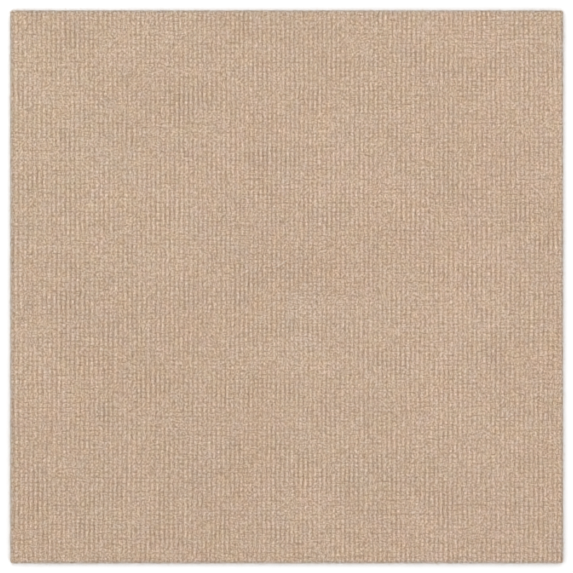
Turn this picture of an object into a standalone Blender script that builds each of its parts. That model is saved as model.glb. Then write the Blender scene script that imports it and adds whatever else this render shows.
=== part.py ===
"""A square carpet tile of needle-punched felt, its face raised in close columns of nubs.

One piece of felt is needled from fibres, looped up into columns on its face, bonded with resin
on its underside and cut square out of a wide sheet. It is modelled the same way: a length of
the ribbed sheet, trimmed by a die with rounded corners.

Units are metres and +Z points up out of the face. The origin is the middle of the underside.
The columns run along Y, and the solid's top is the height that the tips of the nubs reach.
"""

import math

import bmesh
import bpy
from mathutils import Matrix, Vector

# The cut square
TILE_WIDTH = 0.4572
TILE_LENGTH = 0.4572
CORNER_RADIUS = 0.0025
CORNER_SEGMENTS = 6

# The felt's section, from the floor up
BASE_THICKNESS = 0.0037
COLUMN_HEIGHT = 0.0018

# The columns: from groove to groove, and from the left cut to the first groove
COLUMN_PITCH = 0.00387
FIRST_GROOVE = 0.0030
COLUMN_FACETS = 4

# Columns of waste that the cut takes off the sheet on each side
WASTE_COLUMNS = 2

# The felt's finish
FELT_COLOUR = (0.552, 0.407, 0.296, 1.0)
FELT_ROUGHNESS = 0.95
FELT_METALLIC = 0.0

# Ends of an edge that differ in height by more than this make it an upright one
LEVEL_TOLERANCE = 1e-6

# Faces that meet at a wider angle than this keep a crisp edge, in radians
CRISP_ANGLE = 0.9


def clear_scene():
    for thing in list(bpy.data.objects):
        bpy.data.objects.remove(thing)


def felt_material():
    material = bpy.data.materials.new("felt")
    material.use_nodes = True
    shader = material.node_tree.nodes["Principled BSDF"]
    shader.inputs["Base Color"].default_value = FELT_COLOUR
    shader.inputs["Roughness"].default_value = FELT_ROUGHNESS
    shader.inputs["Metallic"].default_value = FELT_METALLIC
    material.diffuse_color = FELT_COLOUR
    return material


def object_from(shape, name):
    bmesh.ops.recalc_face_normals(shape, faces=shape.faces)
    mesh = bpy.data.meshes.new(name)
    shape.to_mesh(mesh)
    shape.free()
    mesh.shade_smooth()
    mesh.set_sharp_from_angle(angle=CRISP_ANGLE)
    thing = bpy.data.objects.new(name, mesh)
    bpy.context.scene.collection.objects.link(thing)
    return thing


def waste():
    """How far the sheet and the die run past the tile before it is cut."""
    return WASTE_COLUMNS * COLUMN_PITCH


def face_profile():
    """The sheet's face across the columns, left to right: each column is a half ellipse."""
    left_end = FIRST_GROOVE % COLUMN_PITCH - TILE_WIDTH / 2 - waste()
    columns = math.ceil((TILE_WIDTH / 2 + waste() - left_end) / COLUMN_PITCH)
    points = []
    for facet in range(columns * COLUMN_FACETS + 1):
        across = (facet % COLUMN_FACETS) / COLUMN_FACETS
        raised = math.sqrt(1.0 - (2.0 * across - 1.0) ** 2)
        x = left_end + facet * COLUMN_PITCH / COLUMN_FACETS
        points.append((x, BASE_THICKNESS + COLUMN_HEIGHT * raised))
    return points


def ribbed_sheet():
    """A length of the sheet, drawn as its end section and extruded along the columns."""
    face = face_profile()
    underside = [(face[-1][0], 0.0), (face[0][0], 0.0)]
    shape = bmesh.new()
    near = -TILE_LENGTH / 2 - waste()
    outline = [shape.verts.new((x, near, z)) for x, z in face + underside]
    section = shape.faces.new(outline)
    extruded = bmesh.ops.extrude_face_region(shape, geom=[section])
    moved = [item for item in extruded["geom"] if isinstance(item, bmesh.types.BMVert)]
    run = Vector((0.0, TILE_LENGTH + 2 * waste(), 0.0))
    bmesh.ops.translate(shape, verts=moved, vec=run)
    return shape


def square_die():
    """The cut: an upright square prism with rounded corners, taller than the sheet."""
    thickness = BASE_THICKNESS + COLUMN_HEIGHT
    height = thickness + 2 * waste()
    size = Matrix.Diagonal(Vector((TILE_WIDTH, TILE_LENGTH, height, 1.0)))
    place = Matrix.Translation(Vector((0.0, 0.0, thickness / 2)))
    shape = bmesh.new()
    bmesh.ops.create_cube(shape, size=1.0, matrix=place @ size)
    upright = [
        edge
        for edge in shape.edges
        if abs(edge.verts[0].co.z - edge.verts[1].co.z) > LEVEL_TOLERANCE
    ]
    bmesh.ops.bevel(
        shape,
        geom=upright,
        offset=CORNER_RADIUS,
        offset_type="OFFSET",
        segments=CORNER_SEGMENTS,
        profile=0.5,
        affect="EDGES",
    )
    return shape


def build_carpet_tile():
    """The sheet trimmed to the die's square."""
    tile = object_from(ribbed_sheet(), "carpet_tile")
    tile.data.materials.append(felt_material())
    die = object_from(square_die(), "square_die")
    die.hide_render = True
    die.display_type = "WIRE"
    cut = tile.modifiers.new("cut_square", "BOOLEAN")
    cut.operation = "INTERSECT"
    cut.solver = "EXACT"
    cut.object = die


clear_scene()
build_carpet_tile()
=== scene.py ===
# %% [markdown]
# # A nubbed felt carpet tile
#
# The object is one square of needle-punched felt. Thousands of barbed needles pull fibres up
# into small nubs, which stand in close columns, and a die cuts the square out of a wide sheet.
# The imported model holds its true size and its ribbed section. This lesson gives it the nubs,
# the cut edge, the bonded underside and the fibre, and leaves its size alone.

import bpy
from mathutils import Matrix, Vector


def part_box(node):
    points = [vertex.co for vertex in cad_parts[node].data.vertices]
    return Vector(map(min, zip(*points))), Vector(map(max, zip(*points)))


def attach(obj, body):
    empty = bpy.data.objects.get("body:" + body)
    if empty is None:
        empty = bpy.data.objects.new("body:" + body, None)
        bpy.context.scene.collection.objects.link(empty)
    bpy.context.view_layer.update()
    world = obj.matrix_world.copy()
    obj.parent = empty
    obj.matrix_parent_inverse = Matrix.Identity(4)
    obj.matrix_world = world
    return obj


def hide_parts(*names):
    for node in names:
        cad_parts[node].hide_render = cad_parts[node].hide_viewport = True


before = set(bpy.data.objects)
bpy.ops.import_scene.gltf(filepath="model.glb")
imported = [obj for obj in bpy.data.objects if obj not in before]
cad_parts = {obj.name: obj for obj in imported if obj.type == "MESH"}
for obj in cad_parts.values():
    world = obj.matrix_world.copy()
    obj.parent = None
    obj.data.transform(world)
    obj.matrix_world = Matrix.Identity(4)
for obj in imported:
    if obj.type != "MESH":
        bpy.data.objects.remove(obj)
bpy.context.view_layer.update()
tile_low, tile_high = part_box("carpet_tile")
print("tile from", [round(v, 4) for v in tile_low], "to", [round(v, 4) for v in tile_high])

# %% Names for Blender's parts and for the tile's own measures
import math

import bpy
import numpy as np
from mathutils import Vector

HALF_WIDTH = tile_high.x
HALF_LENGTH = tile_high.y
NUB_TOP = tile_high.z
GROOVE_FLOOR = 0.0037
CORNER_RADIUS = 0.0025

COLUMN_PITCH = 0.00387
ROW_PITCH = 0.00386
FIRST_GROOVE = -HALF_WIDTH + 0.0030
FIRST_GAP = -HALF_LENGTH + 0.0011
print("columns across the tile:", round(2 * HALF_WIDTH / COLUMN_PITCH, 1))

# %% [markdown]
# ## The view and the light
#
# The tile was photographed from straight above, filling nearly the whole frame, on white, in
# soft light that is a little stronger from the upper left. A long lens over the middle of the
# tile keeps the edges square. The light is an even white sky for the softness, with one weaker
# panel at the upper left, which deepens the shadow at the right and the foot.

# %% Camera over the middle of the tile
LENS = 100.0
SENSOR = 36.0
PHOTO_WIDTH = 573.0
TILE_IN_PHOTO = 553.8
MIDDLE_IN_PHOTO = (286.6, 286.88)


def add_camera():
    frame_width = 2 * HALF_WIDTH * PHOTO_WIDTH / TILE_IN_PHOTO
    height = NUB_TOP + frame_width * LENS / SENSOR
    pixel = frame_width / PHOTO_WIDTH
    x = (PHOTO_WIDTH / 2 - MIDDLE_IN_PHOTO[0]) * pixel
    y = (MIDDLE_IN_PHOTO[1] - PHOTO_WIDTH / 2) * pixel
    bpy.ops.object.camera_add(location=(x, y, height), rotation=(0.0, 0.0, 0.0))
    camera = bpy.context.object
    camera.name = "overhead_camera"
    camera.data.lens = LENS
    camera.data.sensor_width = SENSOR
    camera.data.dof.use_dof = False
    bpy.context.scene.camera = camera
    return camera


camera = add_camera()
print("camera height", round(camera.location.z, 3))

# %% White floor
FLOOR_SIZE = 12.0
FLOOR_COLOUR = (0.83, 0.83, 0.83, 1.0)
FLOOR_ROUGHNESS = 0.9
FLOOR_SPECULAR = 0.1


def plain_floor():
    bpy.ops.mesh.primitive_plane_add(size=FLOOR_SIZE, location=(0.0, 0.0, 0.0))
    floor = bpy.context.object
    floor.name = "studio_floor"
    material = bpy.data.materials.new("studio_white")
    material.use_nodes = True
    shader = material.node_tree.nodes["Principled BSDF"]
    shader.inputs["Base Color"].default_value = FLOOR_COLOUR
    shader.inputs["Roughness"].default_value = FLOOR_ROUGHNESS
    shader.inputs["Specular IOR Level"].default_value = FLOOR_SPECULAR
    floor.data.materials.append(material)
    return floor


floor = plain_floor()
print(floor.name, "is", FLOOR_SIZE, "m wide")

# %% Sky and panel light
SKY_COLOUR = (1.0, 1.0, 1.0, 1.0)
SKY_STRENGTH = 1.190
PANEL_PLACE = Vector((-0.60, 0.60, 1.40))
PANEL_SIZE = 0.9
PANEL_POWER = 5.0


def soft_light():
    world = bpy.data.worlds.new("studio_sky")
    bpy.context.scene.world = world
    world.use_nodes = True
    sky = world.node_tree.nodes["Background"]
    sky.inputs["Color"].default_value = SKY_COLOUR
    sky.inputs["Strength"].default_value = SKY_STRENGTH
    aim = (-PANEL_PLACE).to_track_quat("-Z", "Y").to_euler()
    bpy.ops.object.light_add(type="AREA", location=PANEL_PLACE, rotation=aim)
    panel = bpy.context.object
    panel.name = "upper_left_panel"
    panel.data.size = PANEL_SIZE
    panel.data.energy = PANEL_POWER


soft_light()
bpy.context.scene.view_settings.view_transform = "Standard"
print("panel", round(PANEL_PLACE.length, 2), "m from the tile's middle")

# %% [markdown]
# ## One nub
#
# A nub is a soft lump of fibre, rounder across its column than along it, because the nubs of
# one column run into each other while the grooves between columns stay open. One nub is
# modelled by hand on a small grid: the inner points are lifted in three steps to make the
# rounded back of the column, then the two ends are let down to make the gap to the next nub.
# The grid's rim lies on the lattice, so copies of it join without a seam.


# %% Small helpers for working by hand
def deselect_all():
    if bpy.context.mode != "OBJECT":
        bpy.ops.object.mode_set(mode="OBJECT")
    bpy.ops.object.select_all(action="DESELECT")


def pick_points(thing, wanted):
    """Selects the points for which wanted(co) is true, and goes to edit mode."""
    bpy.ops.object.mode_set(mode="EDIT")
    bpy.ops.mesh.select_mode(type="VERT")
    bpy.ops.mesh.select_all(action="DESELECT")
    bpy.ops.object.mode_set(mode="OBJECT")
    mesh = thing.data
    places = np.empty(len(mesh.vertices) * 3, np.float32)
    mesh.vertices.foreach_get("co", places)
    chosen = wanted(places.reshape(-1, 3).T)
    mesh.vertices.foreach_set("select", np.ascontiguousarray(chosen, bool))
    bpy.ops.object.mode_set(mode="EDIT")
    return int(np.count_nonzero(chosen))


def lift(thing, wanted, height):
    pick_points(thing, wanted)
    bpy.ops.transform.translate(value=(0.0, 0.0, height))
    bpy.ops.object.mode_set(mode="OBJECT")


def name_points(thing, wanted, group):
    pick_points(thing, wanted)
    if group not in thing.vertex_groups:
        thing.vertex_groups.new(name=group)
    thing.vertex_groups.active = thing.vertex_groups[group]
    bpy.context.tool_settings.vertex_group_weight = 1.0
    bpy.ops.object.vertex_group_assign()
    bpy.ops.object.mode_set(mode="OBJECT")


# %% Model the nub
NUB_CUTS_ACROSS = 6
NUB_CUTS_ALONG = 5

# The nub stops a little short of the tile's full height, so that the tufts reach it.
ROOM_FOR_TUFTS = 0.0003
NUB_HEIGHT = NUB_TOP - GROOVE_FLOOR - ROOM_FOR_TUFTS
HALF_COLUMN = COLUMN_PITCH / 2
HALF_ROW = ROW_PITCH / 2

# How far out from the nub's middle each lift reaches, and its share of the nub's height
SIDES = (0.8 * HALF_COLUMN, 0.24)
BACK = (0.5 * HALF_COLUMN, 0.50)
CREST = (0.2 * HALF_COLUMN, 0.26)

# How far the two ends are let down: the whole gap, and how the three steps share it
GAP_DEPTH = 0.63
ENDS_SHARE = 0.18
END_BACKS_SHARE = 0.36
SLOPES_SHARE = 0.46
END_STARTS = 0.9 * HALF_ROW
SLOPE_STARTS = 0.5 * HALF_ROW
GROOVE_STARTS = 0.9 * HALF_COLUMN


def model_nub():
    deselect_all()
    bpy.ops.mesh.primitive_grid_add(
        x_subdivisions=NUB_CUTS_ACROSS,
        y_subdivisions=NUB_CUTS_ALONG,
        size=COLUMN_PITCH,
        location=(0.0, 0.0, GROOVE_FLOOR),
    )
    nub = bpy.context.object
    bpy.ops.transform.resize(value=(1.0, ROW_PITCH / COLUMN_PITCH, 1.0))
    bpy.ops.object.transform_apply(location=True, rotation=True, scale=True)
    for reach, share in (SIDES, BACK, CREST):
        lift(nub, lambda co: abs(co[0]) < reach, NUB_HEIGHT * share)
    ends = lambda co: (abs(co[1]) > END_STARTS) & (abs(co[0]) < SIDES[0])
    end_backs = lambda co: (abs(co[1]) > END_STARTS) & (abs(co[0]) < BACK[0])
    slopes = lambda co: (abs(co[1]) > SLOPE_STARTS) & (abs(co[0]) < BACK[0])
    for lowered, share in ((ends, ENDS_SHARE), (end_backs, END_BACKS_SHARE), (slopes, SLOPES_SHARE)):
        lift(nub, lowered, -NUB_HEIGHT * GAP_DEPTH * share)
    name_points(nub, ends, "gap")
    name_points(nub, lambda co: abs(co[0]) > GROOVE_STARTS, "groove")
    name_points(nub, lambda co: abs(co[0]) < BACK[0], "tip")
    return nub


nub = model_nub()
print("one nub:", len(nub.data.polygons), "faces")
bpy.data.objects.remove(nub)

# %% [markdown]
# ## The lattice and its wander
#
# The needles stand in a regular board, so the nubs lie on a square lattice. The web of fibre
# creeps and stretches as it is needled. The columns wander sideways by up to a third of a nub,
# each nub sits a little off its place, neighbours in a column often run together, and in some
# patches the felt is more matted, with its grooves filled and its tips pressed flatter.
#
# Two Array modifiers repeat the nub and join the copies. Displace modifiers then move the sheet
# with cloud textures read at each point's own place, so any two pieces of the sheet that are
# made apart still agree where they meet. The web is drawn out along Y, so the sideways wander
# is read through an empty that is three times as long that way, and the columns stay straight.

# %% Textures that push the sheet about
CLOUDS = {}


def cloud(name, size):
    texture = bpy.data.textures.new(name, "CLOUDS")
    texture.noise_scale = size
    texture.noise_depth = 0
    texture.noise_basis = "IMPROVED_PERLIN"
    CLOUDS[name] = texture


# Each push: its name, the way it moves the points, the size of its clouds, its strength, the
# level of cloud that moves nothing, and the named points that it moves, or None for all
PUSHES = [
    ("wander_across", "X", 0.150, 0.0048, 0.44, None),
    ("wander_along", "Y", 0.210, 0.0030, 0.50, None),
    ("drift_across", "X", 0.019, 0.0012, 0.50, None),
    ("drift_along", "Y", 0.017, 0.0022, 0.50, None),
    ("jitter_across", "X", 0.0065, 0.0012, 0.50, None),
    ("jitter_along", "Y", 0.0050, 0.0023, 0.50, None),
    ("bridges", "Z", 0.0048, 0.0013, 0.45, "gap"),
    ("sideways_bridges", "Z", 0.0055, 0.0006, 0.50, "groove"),
    ("matted_grooves", "Z", 0.0240, 0.0008, 0.50, "groove"),
    ("matted_tips", "Z", 0.0240, -0.0006, 0.50, "tip"),
    ("lumps", "Z", 0.0034, 0.0011, 0.50, "tip"),
    ("tufts", "Z", 0.0016, 0.0008, 0.50, None),
]
for name, _, size, *_ in PUSHES:
    cloud(name, size)
print("textures:", ", ".join(CLOUDS))

# %% The empty through which the sideways wander is read
WEB_PLACE = (0.21, 0.43, 1.12)
WEB_STRETCH = (1.0, 3.0, 1.0)
FOLLOWS_WEB = ("wander_across", "drift_across")
deselect_all()
bpy.ops.object.empty_add(location=WEB_PLACE)
web = bpy.context.object
web.name = "stretched_web"
web.scale = WEB_STRETCH
bpy.context.view_layer.update()
print(web.name, "stretches", " and ".join(FOLLOWS_WEB), "by", WEB_STRETCH)


# %% Move a sheet by one cloud texture
def shove(sheet, name, direction, strength, middle, group):
    """Moves the sheet's points by a cloud texture, and applies the move."""
    push = sheet.modifiers.new(name, "DISPLACE")
    push.texture = CLOUDS[name]
    if name in FOLLOWS_WEB:
        push.texture_coords = "OBJECT"
        push.texture_coords_object = web
    else:
        push.texture_coords = "LOCAL"
    push.direction = direction
    push.strength = strength
    push.mid_level = middle
    if group:
        push.vertex_group = group
    bpy.ops.object.modifier_apply(modifier=name)


# %% Repeat the nub into a sheet that is larger than the block to be cut from it
SPARE_NUBS = 3
JOIN_WITHIN = 0.00001


def repeat(sheet, name, count, step):
    array = sheet.modifiers.new(name, "ARRAY")
    array.use_relative_offset = False
    array.use_constant_offset = True
    array.constant_offset_displace = step
    array.count = count
    array.use_merge_vertices = True
    array.merge_threshold = JOIN_WITHIN
    bpy.ops.object.modifier_apply(modifier=name)


def felt_sheet(low, high):
    """A wandering sheet of nubs that covers the rectangle from low to high."""
    first = (
        math.floor((low[0] - FIRST_GROOVE) / COLUMN_PITCH) - SPARE_NUBS,
        math.floor((low[1] - FIRST_GAP) / ROW_PITCH) - SPARE_NUBS,
    )
    last = (
        math.ceil((high[0] - FIRST_GROOVE) / COLUMN_PITCH) + SPARE_NUBS,
        math.ceil((high[1] - FIRST_GAP) / ROW_PITCH) + SPARE_NUBS,
    )
    sheet = model_nub()
    sheet.location = (
        FIRST_GROOVE + (first[0] + 0.5) * COLUMN_PITCH,
        FIRST_GAP + (first[1] + 0.5) * ROW_PITCH,
        0.0,
    )
    bpy.ops.object.transform_apply(location=True, rotation=True, scale=True)
    repeat(sheet, "columns", last[0] - first[0], (COLUMN_PITCH, 0.0, 0.0))
    repeat(sheet, "rows", last[1] - first[1], (0.0, ROW_PITCH, 0.0))
    for name, direction, _, strength, middle, group in PUSHES:
        shove(sheet, name, direction, strength, middle, group)
    return sheet


print("each block is cut from a sheet with", SPARE_NUBS, "spare nubs on every side")

# %% [markdown]
# ## Cutting the square
#
# The real tile is cut out of the sheet by a die, wherever the lattice happens to fall, so the
# outermost columns are part columns. The cut is made the same way, with bisecting planes: four
# straight ones, and six more round each corner. A mesh past 200,000 triangles would be thinned
# when it is exported, so the one tile is made as six blocks that meet face to face.
#
# The die squeezes the felt as it cuts, so the nubs along the cut are pressed a little lower, and
# the part column at the left most of all. The outer wall is pulled down from the cut in steps,
# and a fine cloud texture roughens it, strongest at the wall and fading to nothing inwards.

# %% Trim a sheet to a block
BLOCKS_ACROSS = 2
BLOCKS_ALONG = 3
BLOCK_WIDTH = 2 * HALF_WIDTH / BLOCKS_ACROSS
BLOCK_LENGTH = 2 * HALF_LENGTH / BLOCKS_ALONG
CORNER_CUTS = 6
ON_THE_CUT = 0.00002


def bisect(point, outward):
    bpy.ops.mesh.select_all(action="SELECT")
    bpy.ops.mesh.bisect(
        plane_co=point, plane_no=outward, clear_outer=True, clear_inner=False, threshold=ON_THE_CUT
    )


def trim(sheet, low, high):
    """Cuts the sheet to the rectangle, and to the tile's rounded corners where they fall."""
    bpy.ops.object.mode_set(mode="EDIT")
    bpy.ops.mesh.select_mode(type="VERT")
    bisect((low[0], 0.0, 0.0), (-1.0, 0.0, 0.0))
    bisect((high[0], 0.0, 0.0), (1.0, 0.0, 0.0))
    bisect((0.0, low[1], 0.0), (0.0, -1.0, 0.0))
    bisect((0.0, high[1], 0.0), (0.0, 1.0, 0.0))
    for way_x, way_y in ((-1, -1), (1, -1), (-1, 1), (1, 1)):
        corner = (way_x * HALF_WIDTH, way_y * HALF_LENGTH)
        off_x = min(abs(corner[0] - low[0]), abs(corner[0] - high[0]))
        off_y = min(abs(corner[1] - low[1]), abs(corner[1] - high[1]))
        if off_x > CORNER_RADIUS or off_y > CORNER_RADIUS:
            continue
        middle = (corner[0] - way_x * CORNER_RADIUS, corner[1] - way_y * CORNER_RADIUS)
        for cut in range(CORNER_CUTS):
            turn = math.radians(90.0) * (cut + 0.5) / CORNER_CUTS
            outward = (way_x * math.cos(turn), way_y * math.sin(turn))
            point = (
                middle[0] + CORNER_RADIUS * outward[0],
                middle[1] + CORNER_RADIUS * outward[1],
                0.0,
            )
            bisect(point, (outward[0], outward[1], 0.0))
    bpy.ops.object.mode_set(mode="OBJECT")


print("one block is", round(BLOCK_WIDTH, 4), "by", round(BLOCK_LENGTH, 4), "m")

# %% Press the nubs along the cut down
# Each ring: how far in from the cut it reaches, and what is left of the points' height
PRESS_RINGS = [(0.00010, 0.80), (0.0006, 0.90), (0.0026, 0.90)]
PART_COLUMN_PRESS = 0.80


def inset_of(co):
    """How far inside the tile's cut a point lies."""
    across = HALF_WIDTH - abs(co[0])
    along = HALF_LENGTH - abs(co[1])
    near = np.minimum(across, along)
    rounded = CORNER_RADIUS - np.hypot(CORNER_RADIUS - across, CORNER_RADIUS - along)
    in_corner = (across < CORNER_RADIUS) & (along < CORNER_RADIUS)
    return np.where(in_corner, rounded, near)


def press_cut_nubs(sheet):
    """Presses the part column at the left cut, and then rings of points all round the cut."""
    in_part_column = lambda co: co[0] < FIRST_GROOVE
    if pick_points(sheet, in_part_column):
        bpy.ops.transform.resize(
            value=(1.0, 1.0, PART_COLUMN_PRESS), center_override=(0.0, 0.0, GROOVE_FLOOR)
        )
    bpy.ops.object.mode_set(mode="OBJECT")
    for reach, share in PRESS_RINGS:
        near_cut = lambda co: inset_of(co) < reach
        if pick_points(sheet, near_cut):
            bpy.ops.transform.resize(
                value=(1.0, 1.0, share), center_override=(0.0, 0.0, GROOVE_FLOOR)
            )
        bpy.ops.object.mode_set(mode="OBJECT")


print("inset of the tile's middle:", round(float(inset_of((0.0, 0.0))), 4), "m")

# %% Pull the wall down and close the underside
WALL_STEPS = [0.0025, 0.0017, 0.0008, 0.0]


def pull_wall(sheet):
    bpy.ops.object.mode_set(mode="EDIT")
    bpy.ops.mesh.select_mode(type="EDGE")
    bpy.ops.mesh.select_all(action="DESELECT")
    bpy.ops.mesh.select_non_manifold()
    for height in WALL_STEPS:
        bpy.ops.mesh.extrude_region_move()
        bpy.ops.transform.resize(value=(1.0, 1.0, 0.0), center_override=(0.0, 0.0, height))
    bpy.ops.mesh.edge_face_add()
    bpy.ops.mesh.select_all(action="SELECT")
    bpy.ops.mesh.normals_make_consistent(inside=False)
    bpy.ops.object.mode_set(mode="OBJECT")


print("the wall goes down in", len(WALL_STEPS), "steps")

# %% Take the steps out of the walls between blocks
INSIDE = 0.00012


def plain_inner_walls(sheet):
    """Takes the steps out of the walls where this block meets the next ones."""
    step_top = WALL_STEPS[0] + ON_THE_CUT
    pick_points(sheet, lambda co: (inset_of(co) > INSIDE) & (co[2] < step_top))
    bpy.ops.object.mode_set(mode="OBJECT")
    mesh = sheet.data
    chosen = []
    for edge in mesh.edges:
        first = mesh.vertices[edge.vertices[0]]
        second = mesh.vertices[edge.vertices[1]]
        level = abs(first.co.z - second.co.z) < ON_THE_CUT
        stepped = ON_THE_CUT < first.co.z < step_top
        if level and stepped and (first.select or second.select):
            chosen.append(edge.index)
    bpy.ops.object.mode_set(mode="EDIT")
    bpy.ops.mesh.select_mode(type="EDGE")
    bpy.ops.mesh.select_all(action="DESELECT")
    bpy.ops.object.mode_set(mode="OBJECT")
    for index in chosen:
        mesh.edges[index].select = True
    bpy.ops.object.mode_set(mode="EDIT")
    bpy.ops.mesh.dissolve_edges(use_verts=True)
    bpy.ops.object.mode_set(mode="OBJECT")


# %% Roughen the cut and put the steps together into one block
FRAY = 0.00040
FRAY_SIZE = 0.0013
FRAY_REACH = 0.0010
FRAY_MIDDLE = 0.5
cloud("fray_across", FRAY_SIZE)
cloud("fray_along", FRAY_SIZE)


def fade_points(thing, group, reach):
    """Names the points near the tile's cut, with a weight that fades to nothing inwards."""
    mesh = thing.data
    places = np.empty(len(mesh.vertices) * 3, np.float32)
    mesh.vertices.foreach_get("co", places)
    weights = 1.0 - inset_of(places.reshape(-1, 3).T.astype(float)) / reach
    faded = thing.vertex_groups.new(name=group)
    for index in np.flatnonzero(weights > 0.0):
        faded.add([int(index)], float(min(weights[index], 1.0)), "REPLACE")


def fray_cut(sheet):
    """Roughens the cut wall with the fibre ends that stand out of it."""
    fade_points(sheet, "cut", FRAY_REACH)
    shove(sheet, "fray_across", "X", FRAY, FRAY_MIDDLE, "cut")
    shove(sheet, "fray_along", "Y", FRAY, FRAY_MIDDLE, "cut")


def felt_block(column, row):
    low = (-HALF_WIDTH + column * BLOCK_WIDTH, -HALF_LENGTH + row * BLOCK_LENGTH)
    high = (low[0] + BLOCK_WIDTH, low[1] + BLOCK_LENGTH)
    block = felt_sheet(low, high)
    block.name = f"felt_block_{column + 1}_{row + 1}"
    trim(block, low, high)
    press_cut_nubs(block)
    pull_wall(block)
    plain_inner_walls(block)
    fray_cut(block)
    return block


# %% Make the six blocks
blocks = []
for column in range(BLOCKS_ACROSS):
    for row in range(BLOCKS_ALONG):
        block = felt_block(column, row)
        blocks.append(block)
        triangles = sum(len(face.vertices) - 2 for face in block.data.polygons)
        print(block.name, "triangles:", triangles)

bpy.data.objects.remove(web)

# %% [markdown]
# ## Loose fibres
#
# A die shears through thousands of fibres, so short ends stand out of the cut all the way
# round and make its outline soft. One strand is modelled by hand, a three-sided tube that
# narrows to its tip. Its copies are bent, turned and sized in arrays of points, because
# thousands of them by hand would say nothing more, and they are joined into one mesh.
#
# A few longer fibres also come loose on the face and lie over the nubs. Each one is a bent line
# with a ring of three points round each of its points. Rays cast straight down find the felt
# under the line, so that the fibre rests on the high places.

# %% Model one strand
STRAND_SIDES = 3
STRAND_STEPS = 2
STRAND_TAPER = 0.72


def model_strand():
    """A tube one unit long that starts at the origin and runs along X, one unit in radius."""
    deselect_all()
    bpy.ops.mesh.primitive_circle_add(
        vertices=STRAND_SIDES, radius=1.0, fill_type="NGON", rotation=(0.0, math.radians(90.0), 0.0)
    )
    strand = bpy.context.object
    bpy.ops.object.transform_apply(location=True, rotation=True, scale=True)
    bpy.ops.object.mode_set(mode="EDIT")
    bpy.ops.mesh.select_all(action="SELECT")
    for step in range(STRAND_STEPS):
        bpy.ops.mesh.extrude_region_move(
            TRANSFORM_OT_translate={"value": (1.0 / STRAND_STEPS, 0.0, 0.0)}
        )
        bpy.ops.transform.resize(value=(1.0, STRAND_TAPER, STRAND_TAPER))
    bpy.ops.mesh.select_all(action="SELECT")
    bpy.ops.mesh.normals_make_consistent(inside=False)
    bpy.ops.object.mode_set(mode="OBJECT")
    return strand


def take_points(thing):
    """The strand's points and faces, as arrays, and the strand itself cleared away."""
    mesh = thing.data
    points = np.array([point.co for point in mesh.vertices])
    faces = [tuple(face.vertices) for face in mesh.polygons]
    bpy.data.objects.remove(thing)
    return points, faces


strand_points, strand_faces = take_points(model_strand())
print("one strand:", len(strand_faces), "faces")


# %% Find a place on the cut
def on_the_cut(share):
    """Points of the rounded square, and the way out of it, for shares of its round from 0 to 1."""
    straight = 2 * HALF_WIDTH - 2 * CORNER_RADIUS
    arc = 0.5 * math.pi * CORNER_RADIUS
    side_length = straight + arc
    along = share * 4 * side_length
    side = np.floor(along / side_length).astype(int) % 4
    rest = along - np.floor(along / side_length) * side_length
    bend = np.clip((rest - straight) / CORNER_RADIUS, 0.0, 0.5 * math.pi)
    run = np.minimum(rest, straight) - straight / 2
    x = run + CORNER_RADIUS * np.sin(bend)
    y = -HALF_LENGTH + CORNER_RADIUS * (1.0 - np.cos(bend))
    out_x, out_y = np.sin(bend), -np.cos(bend)
    turn = side * 0.5 * math.pi
    cos, sin = np.cos(turn), np.sin(turn)
    place = np.stack([x * cos - y * sin, x * sin + y * cos], 1)
    outward = np.stack([out_x * cos - out_y * sin, out_x * sin + out_y * cos], 1)
    return place, outward


print("halfway round the cut:", on_the_cut(np.array([0.5]))[0].round(4).tolist())


# %% Lay copies of the strand and join them
def bent_tubes(roots, ways, lengths, radii, droops, curls):
    """Lays copies of the strand from each root along its way, bending towards the tip."""
    side_ways = np.cross((0.0, 0.0, 1.0), ways)
    side_ways /= np.linalg.norm(side_ways, axis=1, keepdims=True)
    up_ways = np.cross(ways, side_ways)
    along = strand_points[None, :, 0, None]
    across = strand_points[None, :, 1, None]
    above = strand_points[None, :, 2, None]
    length = lengths[:, None, None]
    radius = radii[:, None, None]
    tubes = (
        roots[:, None, :]
        + ways[:, None, :] * along * length
        + side_ways[:, None, :] * across * radius
        + up_ways[:, None, :] * above * radius
    )
    bend = along * along * length
    tubes += side_ways[:, None, :] * bend * curls[:, None, None]
    tubes[..., 2] -= bend[..., 0] * droops[:, None]
    return tubes


def add_mesh(name, points, faces):
    """Makes an object of points and faces, turns its faces outward and shades it smooth."""
    mesh = bpy.data.meshes.new(name)
    mesh.from_pydata(points.tolist(), [], faces)
    thing = bpy.data.objects.new(name, mesh)
    bpy.context.scene.collection.objects.link(thing)
    deselect_all()
    thing.select_set(True)
    bpy.context.view_layer.objects.active = thing
    bpy.ops.object.mode_set(mode="EDIT")
    bpy.ops.mesh.select_all(action="SELECT")
    bpy.ops.mesh.normals_make_consistent(inside=False)
    bpy.ops.object.mode_set(mode="OBJECT")
    bpy.ops.object.shade_smooth()
    return thing


def join_tubes(name, tubes):
    """Makes one mesh of all the copies."""
    size = len(strand_points)
    faces = []
    for copy in range(len(tubes)):
        faces += [tuple(index + copy * size for index in face) for face in strand_faces]
    return add_mesh(name, tubes.reshape(-1, 3), faces)


# %% Fibre ends along the cut
FRINGE_COUNT = 6800
FRINGE_SEED = 11
FRINGE_LENGTH = (0.0005, 0.0021)
FRINGE_RADIUS = (0.00006, 0.00012)
FRINGE_ROOT = 0.00035
FRINGE_HEIGHT = (0.0003, 0.0047)
FRINGE_DROOP = (0.0, 0.3)
FLOOR_CLEARANCE = 0.00003

# The middle and the spread of how far strands turn sideways, rise and curl
FRINGE_TURN = (0.0, 0.7)
FRINGE_RISE = (0.05, 0.35)
FRINGE_CURL = (0.0, 0.35)


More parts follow.
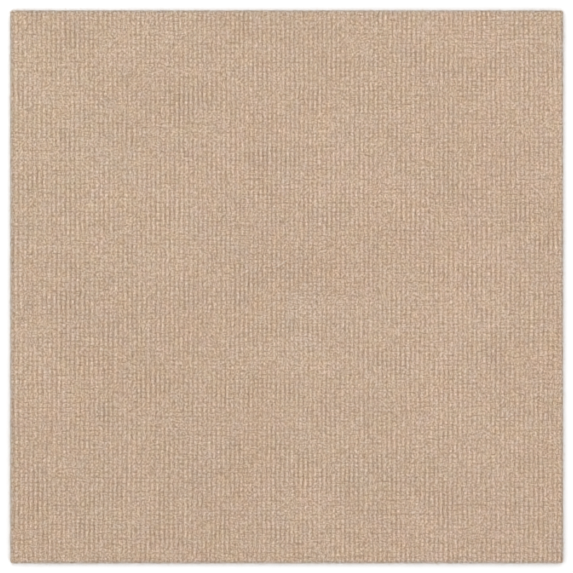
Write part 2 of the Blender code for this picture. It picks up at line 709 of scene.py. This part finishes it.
def cut_fringe():
    draw = np.random.default_rng(FRINGE_SEED)
    place, outward = on_the_cut(draw.random(FRINGE_COUNT))
    heights = draw.uniform(*FRINGE_HEIGHT, FRINGE_COUNT)
    lengths = draw.uniform(*FRINGE_LENGTH, FRINGE_COUNT)
    radii = draw.uniform(*FRINGE_RADIUS, FRINGE_COUNT)
    sideways = draw.normal(*FRINGE_TURN, FRINGE_COUNT)
    upward = draw.normal(*FRINGE_RISE, FRINGE_COUNT)
    ways = np.zeros((FRINGE_COUNT, 3))
    ways[:, 0] = outward[:, 0] - outward[:, 1] * sideways
    ways[:, 1] = outward[:, 1] + outward[:, 0] * sideways
    ways[:, 2] = upward
    ways /= np.linalg.norm(ways, axis=1, keepdims=True)
    roots = np.zeros((FRINGE_COUNT, 3))
    roots[:, :2] = place - outward * FRINGE_ROOT
    roots[:, 2] = heights
    droops = draw.uniform(*FRINGE_DROOP, FRINGE_COUNT)
    curls = draw.normal(*FRINGE_CURL, FRINGE_COUNT)
    tubes = bent_tubes(roots, ways, lengths + FRINGE_ROOT, radii, droops, curls)
    lowest = tubes[..., 2].min(axis=1)
    tubes[..., 2] += np.maximum(FLOOR_CLEARANCE - lowest, 0.0)[:, None]
    return join_tubes("cut_fringe", tubes)


fringe = cut_fringe()
print(fringe.name, "faces:", len(fringe.data.polygons))

# %% Lay the line of one longer fibre on the face
STRAY_STEPS = 9
RESTING_SHARE = 0.8
CAST_FROM = 0.05


def face_heights(points):
    """How high the felt's face is under each point."""
    caster = bpy.context.view_layer.depsgraph
    heights = np.empty(len(points))
    for index, (x, y) in enumerate(points):
        hit, where, *_ = bpy.context.scene.ray_cast(caster, (x, y, CAST_FROM), (0.0, 0.0, -1.0))
        heights[index] = where.z if hit else 0.0
    return heights


def stray_line(x, y, heading, length, bend):
    """A bent line over the nubs that rests on the high places under it."""
    shares = np.linspace(-0.5, 0.5, STRAY_STEPS)
    headings = heading + bend * shares
    step = length / (STRAY_STEPS - 1)
    line = np.zeros((STRAY_STEPS, 3))
    line[:, 0] = x + np.cumsum(np.cos(headings)) * step
    line[:, 1] = y + np.cumsum(np.sin(headings)) * step
    line[:, :2] -= line[:, :2].mean(0) - (x, y)
    heights = face_heights(line[:, :2])
    padded = np.pad(heights, 1, mode="edge")
    resting = np.maximum(np.maximum(padded[:-2], padded[2:]), heights)
    line[:, 2] = RESTING_SHARE * resting + (1.0 - RESTING_SHARE) * heights
    return line, headings


print("the face is", round(float(face_heights([(0.0, 0.0)])[0]), 4), "m high in the middle")

# %% Turn the line into a tube
STRAY_TAPER = 0.75


def stray_tube(line, headings, radius):
    """Three points round each point of the line, finer at both ends."""
    shares = np.linspace(-1.0, 1.0, STRAY_STEPS)
    sizes = radius * (1.0 - STRAY_TAPER * shares**4)
    side = np.stack([-np.sin(headings), np.cos(headings), np.zeros(STRAY_STEPS)], 1)
    rings = []
    for corner in range(STRAND_SIDES):
        turn = 2 * math.pi * corner / STRAND_SIDES
        up = np.array([0.0, 0.0, math.cos(turn)])
        rings.append(line + sizes[:, None] * (side * math.sin(turn) + up))
    return np.stack(rings, 1).reshape(-1, 3)


def stray_faces(start):
    faces = [tuple(start + corner for corner in range(STRAND_SIDES))]
    for step in range(STRAY_STEPS - 1):
        for corner in range(STRAND_SIDES):
            near = start + step * STRAND_SIDES + corner
            beside = start + step * STRAND_SIDES + (corner + 1) % STRAND_SIDES
            faces.append((near, near + STRAND_SIDES, beside + STRAND_SIDES, beside))
    end = start + (STRAY_STEPS - 1) * STRAND_SIDES
    faces.append(tuple(end + corner for corner in reversed(range(STRAND_SIDES))))
    return faces


print("one longer fibre:", len(stray_faces(0)), "faces")

# %% Longer fibres that lie on the face
STRAY_COUNT = 150
STRAY_SEED = 23
STRAY_LENGTH = (0.0035, 0.0090)
STRAY_RADIUS = (0.00006, 0.00010)
STRAY_BEND = 1.1
STRAY_INSET = 0.006

# The fibres that the photo shows: place, heading in degrees, length and radius
SEEN_BEND = 0.5
STRAYS_SEEN = [
    (-0.0053, 0.0187, 27.0, 0.0150, 0.00030),
    (-0.1620, 0.0570, 120.0, 0.0060, 0.00018),
    (-0.2015, -0.1160, 60.0, 0.0070, 0.00018),
    (0.0295, -0.1245, 150.0, 0.0065, 0.00018),
]


def stray_fibres():
    draw = np.random.default_rng(STRAY_SEED)
    strays = []
    for x, y, turn, length, radius in STRAYS_SEEN:
        strays.append((x, y, math.radians(turn), length, SEEN_BEND, radius))
    reach = HALF_WIDTH - STRAY_INSET
    for _ in range(STRAY_COUNT):
        x, y = draw.uniform(-reach, reach, 2)
        heading = draw.uniform(0.0, math.pi)
        length = draw.uniform(*STRAY_LENGTH)
        bend = draw.normal(0.0, STRAY_BEND)
        radius = draw.uniform(*STRAY_RADIUS)
        strays.append((x, y, heading, length, bend, radius))
    points = []
    faces = []
    for x, y, heading, length, bend, radius in strays:
        line, headings = stray_line(x, y, heading, length, bend)
        faces += stray_faces(len(points) * STRAY_STEPS * STRAND_SIDES)
        points.append(stray_tube(line, headings, radius))
    return add_mesh("stray_fibres", np.concatenate(points), faces)


strays = stray_fibres()
print(strays.name, "faces:", len(strays.data.polygons))

# %% [markdown]
# ## The felt's finish
#
# The fibre is matt and heathered: beige strands of slightly different shades. Each shade comes
# from a noise at its own size: rosy, olive, yellow and bluish blotches from two nubs to half the
# tile wide, darker and lighter tufts of one or two millimetres, and curly fibres that are also the
# bump. Darker fibre is the more saturated, so each shade moves blue more than red. The colour is
# paler on the tips of the nubs, which is painted light, and deeper down in the grooves, which is
# painted shade. The dye is a little rosier towards the right and the foot, and painted light makes
# the felt a little lighter towards the right and the head. Along the cut, where the die presses the
# nubs lower, painted shade makes the felt darker and greyer, with a paler lip of cut ends. The
# underside is browner, from its resin.

# %% Helpers for building a node tree
# The Mix node has sockets for numbers, vectors and colours. These are the ones for colours.
COLOUR_FACTOR = 0
FIRST_COLOUR = 6
SECOND_COLOUR = 7
MIXED_COLOUR = 2


def add_node(tree, kind, **settings):
    node = tree.nodes.new(kind)
    for name, value in settings.items():
        setattr(node, name, value)
    return node


def noise_at(tree, place, size, detail):
    node = add_node(tree, "ShaderNodeTexNoise")
    node.inputs["Scale"].default_value = 1.0 / size
    node.inputs["Detail"].default_value = detail
    tree.links.new(place, node.inputs["Vector"])
    return node


def remap(tree, value, low, high, to_low, to_high):
    node = add_node(tree, "ShaderNodeMapRange")
    node.inputs["From Min"].default_value = low
    node.inputs["From Max"].default_value = high
    node.inputs["To Min"].default_value = to_low
    node.inputs["To Max"].default_value = to_high
    tree.links.new(value, node.inputs["Value"])
    return node.outputs["Result"]


def combine(tree, operation, first, second):
    node = add_node(tree, "ShaderNodeMath", operation=operation)
    tree.links.new(first, node.inputs[0])
    tree.links.new(second, node.inputs[1])
    return node.outputs[0]


def blend_colours(tree, factor, first, second, way="MIX"):
    node = add_node(tree, "ShaderNodeMix", data_type="RGBA", blend_type=way)
    for number, colour in ((FIRST_COLOUR, first), (SECOND_COLOUR, second)):
        if isinstance(colour, tuple):
            node.inputs[number].default_value = colour
        else:
            tree.links.new(colour, node.inputs[number])
    if isinstance(factor, float):
        node.inputs[COLOUR_FACTOR].default_value = factor
    else:
        tree.links.new(factor, node.inputs[COLOUR_FACTOR])
    return node.outputs[MIXED_COLOUR]


# %% Tints and shades laid over the felt's colour
ROSY = (1.035, 0.985, 1.010)
OLIVE = (0.970, 1.012, 0.990)
YELLOW = (1.005, 1.000, 0.945)
BLUE = (0.995, 1.000, 1.060)
# Multipliers for painted light: lighter at one side of the tile and darker at the other.
PAINTED_LIGHTER = (1.0315, 1.0315, 1.0315)
PAINTED_DARKER = (0.9685, 0.9685, 0.9685)

# Leans across the whole tile: the way it rises, its strength and its two ends. The first is a
# rosier or more olive dye; the second is painted light, lighter towards the right and the head.
LEAN_REACH = 0.45
DYE_AND_LIGHT_LEANS = [
    ((1.2, -0.9, 0.0), 0.22, OLIVE, ROSY),
    ((1.0, 0.55, 0.0), 1.0, PAINTED_DARKER, PAINTED_LIGHTER),
]

# Blotches of dye: size, strength and the two tints
TINT_LEVELS = (0.28, 0.72)
TINT_DETAIL = 2.0
TINTS = [
    (0.250, 0.20, ROSY, OLIVE),
    (0.060, 0.22, ROSY, OLIVE),
    (0.009, 0.60, ROSY, OLIVE),
    (0.060, 0.20, YELLOW, BLUE),
    (0.018, 0.45, YELLOW, BLUE),
    (0.0080, 0.80, YELLOW, BLUE),
]

# Darker and lighter places: size, detail and how far they go, squashed upright into layers
SHADE_LEVELS = (0.3, 0.7)
SHADES = [
    (0.100, 3.0, 0.034),
    (0.0016, 2.0, 0.18),
    (0.0010, 0.0, 0.37),
]
SHADE_OF_CHANNELS = {"Red": 0.88, "Green": 1.00, "Blue": 1.25}
LAYER_SQUASH = (1.0, 1.0, 3.0)
print("laid over the colour:", len(DYE_AND_LIGHT_LEANS), "leans,", len(TINTS), "tints,", len(SHADES), "shades")


# %% Lay tints and shades over a colour
def tint(tree, colour, blend, strength, first, second):
    """Multiplies a colour by a blend of two shades, each softened to the strength."""
    soft_first, soft_second = (
        tuple(1.0 + strength * (channel - 1.0) for channel in shade) + (1.0,)
        for shade in (first, second)
    )
    shade = blend_colours(tree, blend, soft_first, soft_second)
    return blend_colours(tree, 1.0, colour, shade, "MULTIPLY")


def way_across(tree, place, way):
    """Rises from nothing to one across the tile, along the way."""
    along = add_node(tree, "ShaderNodeVectorMath", operation="DOT_PRODUCT")
    along.inputs[1].default_value = way
    tree.links.new(place, along.inputs[0])
    return remap(tree, along.outputs["Value"], -LEAN_REACH, LEAN_REACH, 0.0, 1.0)


def shade_by(tree, colour, value, low, high, spread):
    """Makes a colour darker and lighter by a value, and the darker places more saturated."""
    shade = add_node(tree, "ShaderNodeCombineColor")
    for channel, share in SHADE_OF_CHANNELS.items():
        reach = spread * share
        level = remap(tree, value, low, high, 1.0 - reach, 1.0 + reach)
        tree.links.new(level, shade.inputs[channel])
    return blend_colours(tree, 1.0, colour, shade.outputs[0], "MULTIPLY")


def heather(tree, colour, place):
    """Lays the leans (a dye tint and a painted light), the blotches and the shades over a colour."""
    for way, strength, first, second in DYE_AND_LIGHT_LEANS:
        colour = tint(tree, colour, way_across(tree, place, way), strength, first, second)
    for size, strength, first, second in TINTS:
        noise = noise_at(tree, place, size, TINT_DETAIL).outputs["Fac"]
        blend = remap(tree, noise, *TINT_LEVELS, 0.0, 1.0)
        colour = tint(tree, colour, blend, strength, first, second)
    layers = add_node(tree, "ShaderNodeMapping")
    layers.inputs["Scale"].default_value = LAYER_SQUASH
    tree.links.new(place, layers.inputs["Vector"])
    for size, detail, spread in SHADES:
        noise = noise_at(tree, layers.outputs[0], size, detail).outputs["Fac"]
        colour = shade_by(tree, colour, noise, *SHADE_LEVELS, spread)
    return colour


# %% Curly single fibres
CURL_SIZE = 0.0020
CURL_BEND = 0.0014
FIBRE_LENGTH = 0.0030
FIBRE_WIDTH = 0.00022
FIBRE_TURNS = [(15.0, 10.0), (62.0, -14.0), (108.0, 8.0), (151.0, -6.0)]
FIBRE_LEVELS = (0.50, 0.78)
FIBRE_SPREAD = 0.16
BUMP_STRENGTH = 0.6
BUMP_DISTANCE = 0.00025


def fibre_streaks(tree, place):
    """Curly fibres lying every way: the highest of several noises, each stretched its own way."""
    curl = noise_at(tree, place, CURL_SIZE, 0.0)
    bend = add_node(tree, "ShaderNodeVectorMath", operation="MULTIPLY_ADD")
    tree.links.new(curl.outputs["Color"], bend.inputs[0])
    bend.inputs[1].default_value = (CURL_BEND, CURL_BEND, CURL_BEND)
    tree.links.new(place, bend.inputs[2])
    highest = None
    for turn, tilt in FIBRE_TURNS:
        lie = add_node(tree, "ShaderNodeMapping", vector_type="TEXTURE")
        lie.inputs["Rotation"].default_value = (0.0, math.radians(tilt), math.radians(turn))
        lie.inputs["Scale"].default_value = (FIBRE_LENGTH, FIBRE_WIDTH, FIBRE_WIDTH)
        tree.links.new(bend.outputs[0], lie.inputs["Vector"])
        strand = noise_at(tree, lie.outputs[0], 1.0, 0.0).outputs["Fac"]
        highest = strand if highest is None else combine(tree, "MAXIMUM", highest, strand)
    return remap(tree, highest, *FIBRE_LEVELS, 0.0, 1.0)


def raise_fibres(tree, fibres, shader):
    """Lets the light see the fibres as a bump."""
    bump = add_node(tree, "ShaderNodeBump")
    bump.inputs["Strength"].default_value = BUMP_STRENGTH
    bump.inputs["Distance"].default_value = BUMP_DISTANCE
    tree.links.new(fibres, bump.inputs["Height"])
    tree.links.new(bump.outputs["Normal"], shader.inputs["Normal"])


print("fibres lie", len(FIBRE_TURNS), "ways")

# %% The felt's colour from the floor up, with painted light on the tips and painted shade in the grooves, and from the middle out to the cut
# The tip colour is painted light on the tops of the nubs, and the deep colour is painted shade down
# in the grooves; the wall keeps the deep colour.
FELT_TIP_PAINTED_LIGHT = (0.634, 0.493, 0.3713, 1.0)
FELT_DEEP_AND_GROOVE_SHADE = (0.465, 0.339, 0.2429, 1.0)
FELT_RIM_PAINTED_SHADE = (0.360, 0.312, 0.265, 1.0)
FELT_LIP = (0.556, 0.506, 0.460, 1.0)
FELT_UNDER = (0.395, 0.325, 0.262, 1.0)
PALE_PATCH = (0.640, 0.515, 0.430, 1.0)

# Where each blend begins and where it ends, and how much of the second colour it lets in
PAINTED_LIGHT_HEIGHTS = (GROOVE_FLOOR + 0.0002, NUB_TOP - 0.0001)
PALE_LEVELS = (0.58, 0.72)
PALE_SHARE = 0.13
RIM_PLACES = (HALF_WIDTH - 0.0034, HALF_WIDTH - 0.0002)
RIM_SHARE = 0.80
LIP_PLACES = (HALF_WIDTH - 0.0009, HALF_WIDTH)
LIP_SHARE = 0.55
FACE_HEIGHTS = (0.0026, 0.0034)
WALL_SHARE = 0.30
UNDER_HEIGHTS = (0.00005, 0.00040)
UNDER_SHARE = 0.75

# The size and the detail of the pale patches, and how far the painted rim shade is moved to the
# right, which makes it wider along the left cut
PALE_SIZE = 0.0045
PALE_DETAIL = 1.0
RIM_LEAN = 0.0002


def towards_cut(tree, place):
    """How far out a point lies, along X or Y, whichever is farther."""
    ways = []
    for axis, lean in (("X", RIM_LEAN), ("Y", 0.0)):
        leaning = add_node(tree, "ShaderNodeMath", operation="SUBTRACT")
        leaning.inputs[1].default_value = lean
        tree.links.new(place.outputs[axis], leaning.inputs[0])
        size = add_node(tree, "ShaderNodeMath", operation="ABSOLUTE")
        tree.links.new(leaning.outputs[0], size.inputs[0])
        ways.append(size.outputs[0])
    return combine(tree, "MAXIMUM", *ways)


def plain_colour(tree, place):
    """The felt without its heathering: painted light on the tips, painted shade in the grooves and
    along the rim, the lip, the wall and the underside.
    """
    split = add_node(tree, "ShaderNodeSeparateXYZ")
    tree.links.new(place, split.inputs[0])
    height = split.outputs["Z"]
    # Painted light and shade: the colour goes from the deep shade in the grooves to the lit tips.
    painted_light_share = remap(tree, height, *PAINTED_LIGHT_HEIGHTS, 0.0, 1.0)
    colour = blend_colours(tree, painted_light_share, FELT_DEEP_AND_GROOVE_SHADE, FELT_TIP_PAINTED_LIGHT)
    patches = noise_at(tree, place, PALE_SIZE, PALE_DETAIL).outputs["Fac"]
    pale = remap(tree, patches, *PALE_LEVELS, 0.0, PALE_SHARE)
    colour = blend_colours(tree, pale, colour, PALE_PATCH)
    out = towards_cut(tree, split)
    on_face = remap(tree, height, *FACE_HEIGHTS, WALL_SHARE, 1.0)
    # Painted shade: the felt darkens and greys towards the cut, fading down the wall.
    rim_shade = remap(tree, out, *RIM_PLACES, 0.0, RIM_SHARE)
    colour = blend_colours(tree, combine(tree, "MULTIPLY", rim_shade, on_face), colour, FELT_RIM_PAINTED_SHADE)
    lip = remap(tree, out, *LIP_PLACES, 0.0, LIP_SHARE)
    colour = blend_colours(tree, combine(tree, "MULTIPLY", lip, on_face), colour, FELT_LIP)
    low = remap(tree, height, *UNDER_HEIGHTS, UNDER_SHARE, 0.0)
    return blend_colours(tree, low, colour, FELT_UNDER)


print("the rim greys from", round(RIM_PLACES[0], 4), "to", round(RIM_PLACES[1], 4), "m out")

# %% The felt's material
FELT_SHADER = {
    "Roughness": 0.95,
    "Specular IOR Level": 0.15,
    "Sheen Weight": 0.12,
    "Sheen Roughness": 0.6,
}


def new_material(name, settings):
    """A material with its shader set, and the place on the tile that its noises read."""
    material = bpy.data.materials.new(name)
    material.use_nodes = True
    tree = material.node_tree
    shader = tree.nodes["Principled BSDF"]
    for socket, value in settings.items():
        shader.inputs[socket].default_value = value
    place = add_node(tree, "ShaderNodeTexCoord").outputs["Object"]
    return material, tree, shader, place


def felt_material():
    material, tree, shader, place = new_material("heathered_felt", FELT_SHADER)
    colour = heather(tree, plain_colour(tree, place), place)
    fibres = fibre_streaks(tree, place)
    colour = shade_by(tree, colour, fibres, 0.0, 1.0, FIBRE_SPREAD)
    tree.links.new(colour, shader.inputs["Base Color"])
    raise_fibres(tree, fibres, shader)
    return material


felt = felt_material()
print(felt.name, "nodes:", len(felt.node_tree.nodes))

# %% The loose fibres' materials
STRAND_SHADER = {"Roughness": 0.8, "Specular IOR Level": 0.2}
STRAND_PALE = (0.820, 0.715, 0.615, 1.0)
STRAND_DEEP = (0.540, 0.455, 0.380, 1.0)
STRAY_DEEP = (0.740, 0.635, 0.530, 1.0)
STRAND_PATCH = 0.0012
STRAND_LEVELS = (0.35, 0.65)


def strand_material(name, deep):
    """The loose fibres are single strands, paler than the mass, each patch a little different."""
    material, tree, shader, place = new_material(name, STRAND_SHADER)
    patches = noise_at(tree, place, STRAND_PATCH, 0.0).outputs["Fac"]
    shade = remap(tree, patches, *STRAND_LEVELS, 0.0, 1.0)
    colour = blend_colours(tree, shade, deep, STRAND_PALE)
    tree.links.new(colour, shader.inputs["Base Color"])
    return material


fringe.data.materials.append(strand_material("cut_strands", STRAND_DEEP))
strays.data.materials.append(strand_material("stray_strands", STRAY_DEEP))
print("fibres wear", fringe.data.materials[0].name, "and", strays.data.materials[0].name)

# %% Put the felt's material on, and smooth the blocks
SMOOTH_BELOW = math.radians(70.0)

for block in blocks:
    block.data.materials.clear()
    block.data.materials.append(felt)
    deselect_all()
    block.select_set(True)
    bpy.context.view_layer.objects.active = block
    bpy.ops.object.shade_smooth_by_angle(angle=SMOOTH_BELOW)
print("materials:", ", ".join(sorted(material.name for material in bpy.data.materials)))

# %% [markdown]
# ## Attaching the pieces
#
# Each block takes its place on the tile's one body, and stands for the imported tile.

# %% Ride on the body and stand in for the imported tile
for piece in blocks + [fringe, strays]:
    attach(piece, "root")
    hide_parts("carpet_tile")
